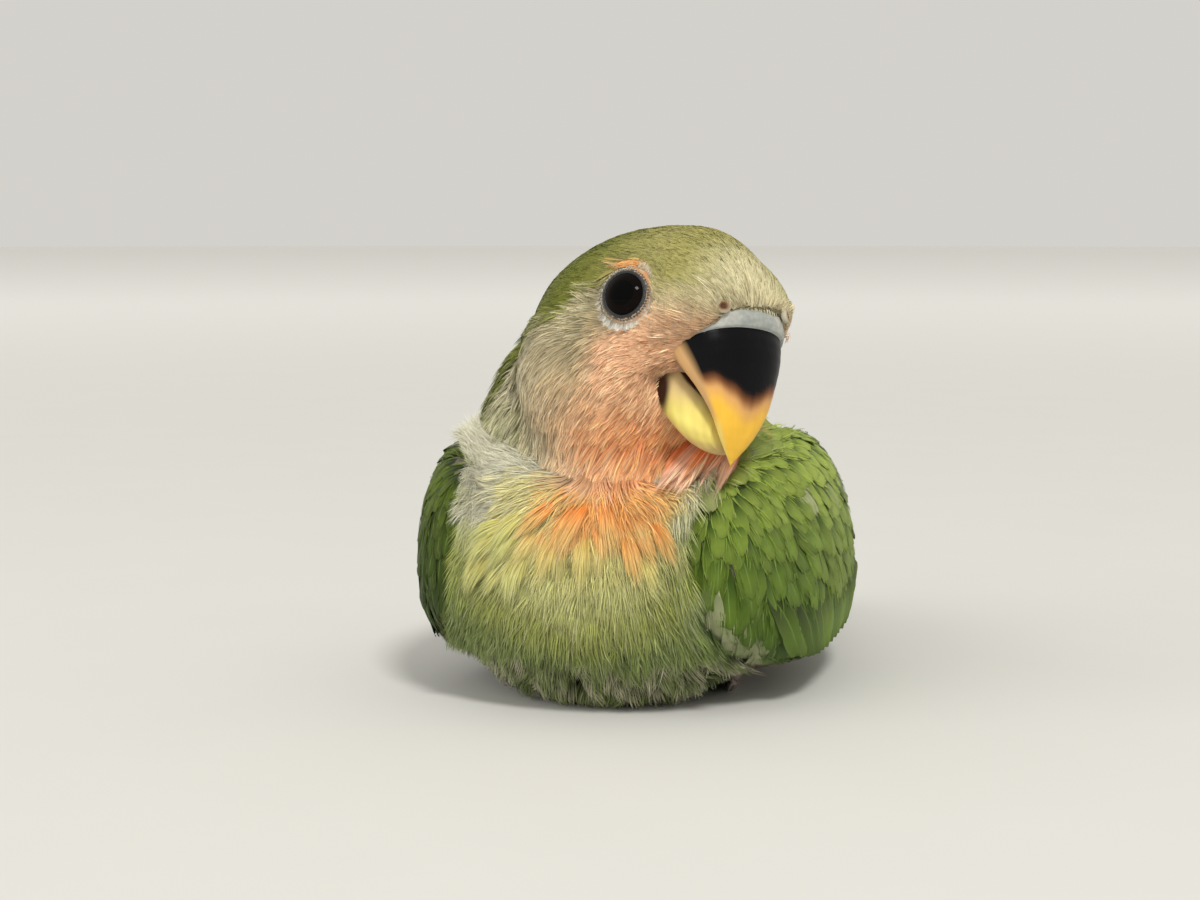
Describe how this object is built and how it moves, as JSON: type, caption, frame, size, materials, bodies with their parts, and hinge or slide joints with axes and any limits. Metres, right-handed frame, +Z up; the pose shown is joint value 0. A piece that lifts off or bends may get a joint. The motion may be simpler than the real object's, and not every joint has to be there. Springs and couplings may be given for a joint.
{
  "type": "peach faced lovebird fledgling, still model",
  "caption": "Life-size young peach faced lovebird squatting on its belly, wings folded and head turned to its left.",
  "frame": {"origin": "middle of the belly's flat, on the floor", "axes": "+Z up, the trunk and tail lie along Y with the breast at -Y, and +X is the bird's own left"},
  "size_m": [0.052, 0.0993, 0.0558],
  "materials": {
    "plumage_green": "soft green feathers with a faint sheen",
    "plumage_breast": "loose yellow green down and breast feathers",
    "plumage_face": "short peach and buff face feathers",
    "bill_horn": "smooth horn, black at the base and yellow at the tip",
    "cere_skin": "pale waxy bare skin",
    "eye_dark": "wet, nearly black",
    "foot_skin": "scaly grey pink skin",
    "claw_horn": "dark smooth horn"
  },
  "bodies": {
    "root": {"head": "plumage_face", "neck": "plumage_breast", "trunk": "plumage_breast", "tail": "plumage_green", "wing_left": "plumage_green", "wing_right": "plumage_green", "leg_left": "plumage_green", "leg_right": "plumage_green", "foot_left": "foot_skin", "foot_right": "foot_skin", "claw_inner_left": "claw_horn", "claw_middle_left": "claw_horn", "claw_outer_left": "claw_horn", "claw_hind_left": "claw_horn", "claw_inner_right": "claw_horn", "claw_middle_right": "claw_horn", "claw_outer_right": "claw_horn", "claw_hind_right": "claw_horn", "eye_left": "eye_dark", "eye_right": "eye_dark", "cere": "cere_skin", "bill_upper": "bill_horn", "bill_lower": "bill_horn"}
  },
  "joints": []
}
